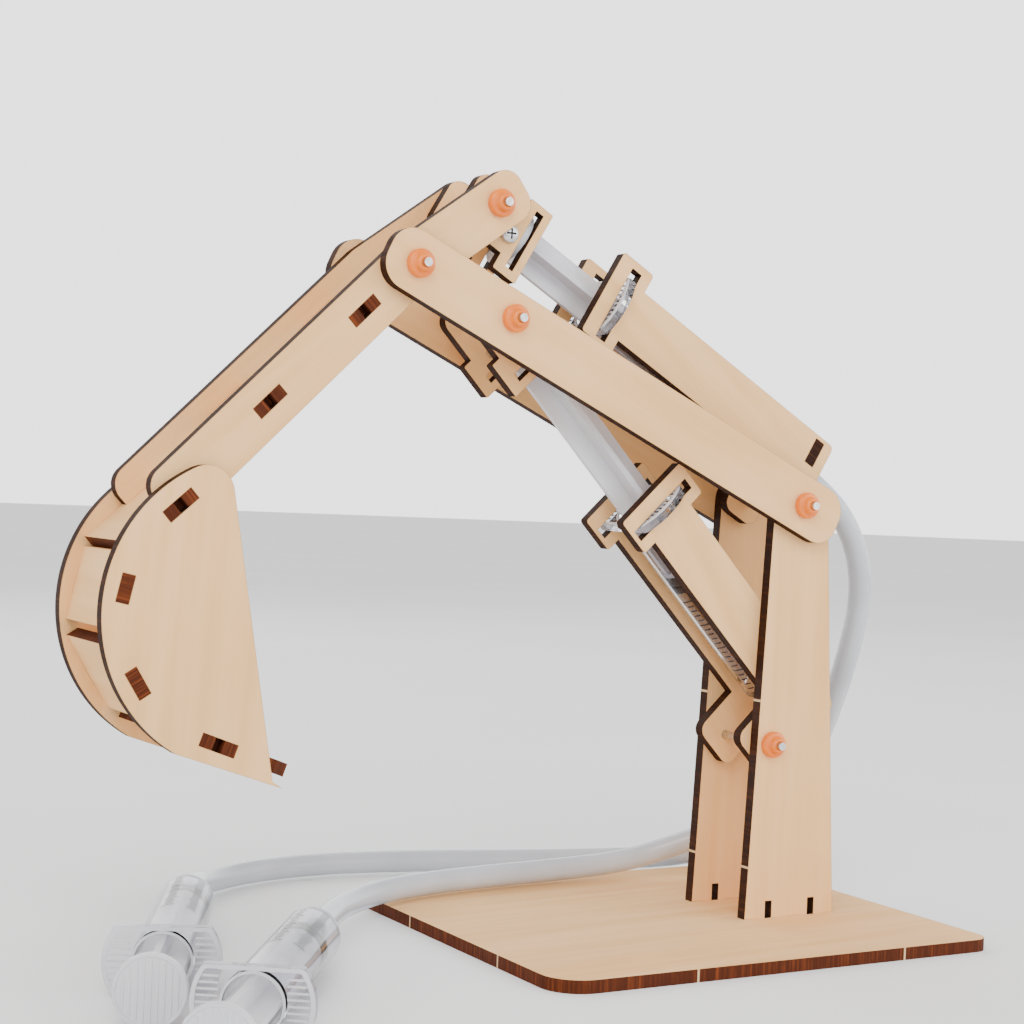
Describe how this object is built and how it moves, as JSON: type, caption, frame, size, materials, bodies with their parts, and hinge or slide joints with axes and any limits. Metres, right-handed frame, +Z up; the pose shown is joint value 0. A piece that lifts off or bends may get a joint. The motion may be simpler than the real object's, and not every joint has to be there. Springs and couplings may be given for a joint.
{
  "type": "hydraulic arm kit",
  "caption": "Tabletop hydraulic excavator arm of laser-cut plywood with a toothed bucket, worked by syringes joined by flexible tubes.",
  "frame": {"origin": "centre of the base plate's underside, on the surface it stands on", "axes": "+X from the bucket towards the column, +Y from the near plates to the far plates, +Z up"},
  "size_m": [0.2226, 0.1749, 0.1826],
  "materials": {
    "plywood": "bare laser-cut plywood with dark burnt edges",
    "cap_orange": "soft orange plastic",
    "steel": "bright steel",
    "barrel_clear": "clear polypropylene with black graduations",
    "plunger_milky": "milky polypropylene",
    "piston_rubber": "black rubber",
    "hose_clear": "milky soft tube"
  },
  "bodies": {
    "frame": {"base_plate": "plywood", "column_plate_near": "plywood", "column_plate_far": "plywood", "column_top_axle": "steel", "column_top_caps": "cap_orange", "column_lower_axle": "steel", "column_lower_caps": "cap_orange", "hand_lift_barrel": "barrel_clear", "hand_stick_barrel": "barrel_clear", "lift_hose": "hose_clear", "stick_hose": "hose_clear"},
    "boom": {"boom_plate_near": "plywood", "boom_plate_far": "plywood", "lift_pin_axle": "steel", "lift_pin_caps": "cap_orange", "stick_pivot_axle": "steel", "stick_pivot_caps": "cap_orange"},
    "stick": {"stick_plate_near": "plywood", "stick_plate_far": "plywood", "stick_brace_upper": "plywood", "stick_brace_lower": "plywood", "bucket_side_near": "plywood", "bucket_side_far": "plywood", "bucket_slat_top": "plywood", "bucket_slat_upper": "plywood", "bucket_slat_lower": "plywood", "bucket_floor": "plywood", "stick_top_axle": "steel", "stick_top_caps": "cap_orange"},
    "hand_lift_rod": {"hand_lift_plunger": "plunger_milky", "hand_lift_piston": "piston_rubber"},
    "hand_stick_rod": {"hand_stick_plunger": "plunger_milky", "hand_stick_piston": "piston_rubber"},
    "lift_cylinder": {"lift_barrel": "barrel_clear", "lift_carrier_side_near": "plywood", "lift_carrier_side_far": "plywood", "lift_carrier_end_plate": "plywood"},
    "lift_rod": {"lift_plunger": "plunger_milky", "lift_piston": "piston_rubber", "lift_holder_side_near": "plywood", "lift_holder_side_far": "plywood", "lift_holder_screw": "steel", "lift_holder_nut": "steel"},
    "stick_cylinder": {"stick_barrel": "barrel_clear", "stick_carrier_side_near": "plywood", "stick_carrier_side_far": "plywood", "stick_carrier_end_plate": "plywood"},
    "stick_rod": {"stick_plunger": "plunger_milky", "stick_piston": "piston_rubber", "stick_holder_side_near": "plywood", "stick_holder_side_far": "plywood", "stick_holder_screw": "steel", "stick_holder_nut": "steel"}
  },
  "joints": [
    {"name": "boom_lift", "type": "hinge", "parent": "frame", "child": "boom", "pos_m": [0.0268, 0, 0.1075], "axis": [0, 1, 0], "range_deg": [-10, 10]},
    {"name": "stick_swing", "type": "hinge", "parent": "boom", "child": "stick", "pos_m": [-0.0845, 0, 0.1587], "axis": [0, 1, 0], "range_deg": [-16, 16]},
    {"name": "lift_cylinder_tilt", "type": "hinge", "parent": "frame", "child": "lift_cylinder", "pos_m": [0.0216, 0, 0.047], "axis": [0, 1, 0], "range_deg": [-7.2, 7.2], "deforming": ["lift_hose"]},
    {"name": "lift_rod_slide", "type": "slide", "parent": "lift_cylinder", "child": "lift_rod", "axis": [-0.6884, 0, 0.7254], "range_m": [-0.008, 0.008]},
    {"name": "stick_cylinder_tilt", "type": "hinge", "parent": "boom", "child": "stick_cylinder", "pos_m": [0.0268, 0, 0.1075], "axis": [0, 1, 0], "range_deg": [-1.8, 1.8], "deforming": ["stick_hose"]},
    {"name": "stick_rod_slide", "type": "slide", "parent": "stick_cylinder", "child": "stick_rod", "axis": [-0.8634, 0, 0.5045], "range_m": [-0.008, 0.0075]},
    {"name": "hand_lift_slide", "type": "slide", "parent": "frame", "child": "hand_lift_rod", "axis": [0.5721, 0.8202, 0], "range_m": [-0.008, 0.008]},
    {"name": "hand_stick_slide", "type": "slide", "parent": "frame", "child": "hand_stick_rod", "axis": [0.4289, 0.9033, 0], "range_m": [-0.008, 0.0072]}
  ],
  "couplings": [
    {"joint": "lift_cylinder_tilt", "follows": "boom_lift", "ratio": 0.68804},
    {"joint": "lift_rod_slide", "follows": "boom_lift", "m_per_rad": 0.041998},
    {"joint": "hand_lift_slide", "follows": "boom_lift", "m_per_rad": 0.041998},
    {"joint": "stick_cylinder_tilt", "follows": "stick_swing", "ratio": -0.097724},
    {"joint": "stick_rod_slide", "follows": "stick_swing", "m_per_rad": -0.025473},
    {"joint": "hand_stick_slide", "follows": "stick_swing", "m_per_rad": -0.025473}
  ]
}
